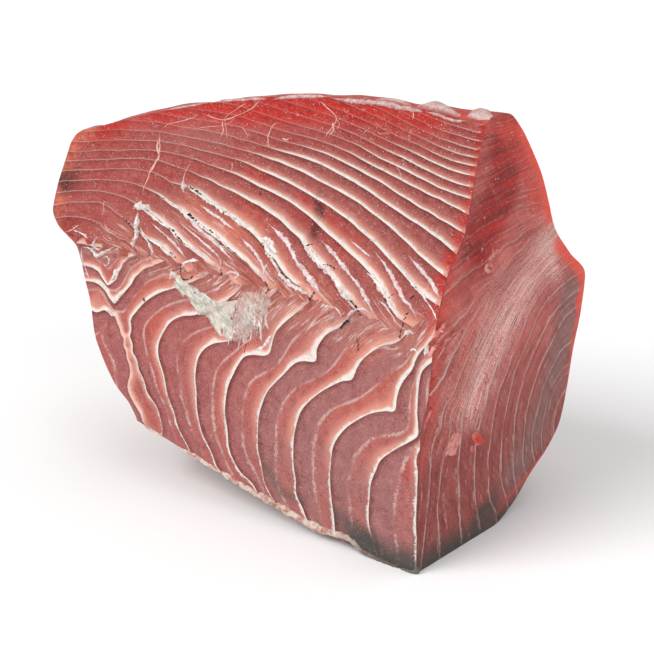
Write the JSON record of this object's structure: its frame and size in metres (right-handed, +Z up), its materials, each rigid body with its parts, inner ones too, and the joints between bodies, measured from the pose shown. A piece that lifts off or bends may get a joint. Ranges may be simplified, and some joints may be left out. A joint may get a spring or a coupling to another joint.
{
  "type": "raw tuna loin",
  "caption": "Thick raw tuna loin block cut from one side of the fish: marbled chevron muscle on the long cut face, a square cross cut at one end, rounded skinless flank behind.",
  "frame": {"origin": "middle of the underside's box, at table height", "axes": "+X along the fish towards the square cut, +Y from the flat near cut through to the skinned flank, +Z up"},
  "size_m": [0.2966, 0.1778, 0.246],
  "materials": {
    "tuna_flesh": "wet red flesh with white connective walls"
  },
  "bodies": {
    "root": {"tuna_loin": "tuna_flesh"}
  },
  "joints": []
}
